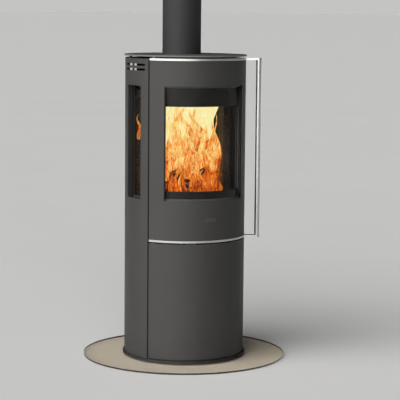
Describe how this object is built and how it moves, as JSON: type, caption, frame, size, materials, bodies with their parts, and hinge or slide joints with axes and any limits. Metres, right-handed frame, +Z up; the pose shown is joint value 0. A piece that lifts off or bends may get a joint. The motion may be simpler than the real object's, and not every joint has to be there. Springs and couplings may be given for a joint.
{
  "type": "wood burning stove",
  "caption": "Tall round steel stove with a bowed glass fire door, side windows, a wood compartment below, a bar handle, a flue pipe and a clear hearth plate.",
  "frame": {"origin": "on the floor, under the centre of the round hearth plate", "axes": "+Z up, -Y towards the front, +X to the right of someone facing the stove"},
  "size_m": [0.8099, 0.81, 1.658],
  "materials": {
    "body_paint": "heat-proof satin dark grey",
    "black_paint": "heat-proof matt black",
    "flue_paint": "heat-proof matt black",
    "stainless": "polished along its length",
    "bright_steel": "zinc plated",
    "ceramic_glass": "clear ceramic glass, black printed bands at top and bottom",
    "side_glass": "clear ceramic glass, smoked",
    "hearth_glass": "clear toughened glass with a ground edge",
    "heat_board": "pressed vermiculite board",
    "rope_seal": "woven glass rope",
    "cast_iron": "as cast"
  },
  "bodies": {
    "stove": {"hearth_plate": "hearth_glass", "plinth_ring": "black_paint", "base_panel": "black_paint", "side_panel_right": "body_paint", "side_panel_left": "body_paint", "rear_panel": "body_paint", "rear_screws": "bright_steel", "top_ring": "black_paint", "top_spacers": "black_paint", "top_plate": "body_paint", "firebox_front_frame": "black_paint", "firebox_side_right": "black_paint", "firebox_side_left": "black_paint", "firebox_rear_wall": "black_paint", "firebox_floor": "black_paint", "ash_chamber_floor": "black_paint", "firebox_top": "black_paint", "lining_rear": "heat_board", "lining_sides": "heat_board", "lining_floor": "heat_board", "grate": "cast_iron", "log_retainer": "black_paint", "baffle_plate": "heat_board", "ash_pan": "black_paint", "side_glass_right": "side_glass", "side_glass_left": "side_glass", "side_glass_seals": "rope_seal", "side_glass_clips": "bright_steel", "side_reveals": "black_paint", "flue_collar": "black_paint", "flue_pipe": "flue_paint", "air_box": "black_paint", "air_spigot": "black_paint", "slider_guides": "bright_steel", "storage_liner": "black_paint", "hinge_brackets": "black_paint", "hinge_pins": "bright_steel", "magnet_catch": "bright_steel", "latch_bracket": "bright_steel", "latch_spring": "bright_steel"},
    "fire_door": {"fire_door_skin": "body_paint", "door_top_trim": "stainless", "door_bottom_trim": "stainless", "handle_bar": "stainless", "handle_screws": "stainless", "door_inner_frame": "black_paint", "door_glass": "ceramic_glass", "glass_gasket": "rope_seal", "glass_retainers": "black_paint", "door_seal": "rope_seal", "latch_tongue": "bright_steel", "door_badge": "body_paint"},
    "storage_door": {"storage_door_skin": "body_paint", "storage_hinge_plates": "black_paint", "storage_catch_plate": "bright_steel"},
    "latch_arm": {"latch_arm": "bright_steel"},
    "latch_roller": {"latch_roller": "bright_steel"},
    "primary_air": {"primary_air_slider": "bright_steel"},
    "secondary_air": {"secondary_air_slider": "bright_steel"}
  },
  "joints": [
    {"name": "fire_door_hinge", "type": "hinge", "parent": "stove", "child": "fire_door", "pos_m": [-0.19307, -0.12682, 0.84], "axis": [0, 0, -1], "range_deg": [0, 105]},
    {"name": "storage_door_hinge", "type": "hinge", "parent": "stove", "child": "storage_door", "pos_m": [-0.19307, -0.12682, 0.25], "axis": [0, 0, -1], "range_deg": [0, 105]},
    {"name": "latch_arm_pivot", "type": "hinge", "parent": "stove", "child": "latch_arm", "pos_m": [0.186, -0.072, 1.154], "axis": [0, 0, 1], "range_deg": [0, 6], "stiffness_Nm_per_rad": 2},
    {"name": "latch_roller_spin", "type": "hinge", "parent": "latch_arm", "child": "latch_roller", "pos_m": [0.16272, -0.106, 1.154], "axis": [0, 0, 1], "continuous": true},
    {"name": "primary_air_slide", "type": "slide", "parent": "stove", "child": "primary_air", "axis": [1, 0, 0], "range_m": [0, 0.026]},
    {"name": "secondary_air_slide", "type": "slide", "parent": "stove", "child": "secondary_air", "axis": [-1, 0, 0], "range_m": [0, 0.026]}
  ]
}
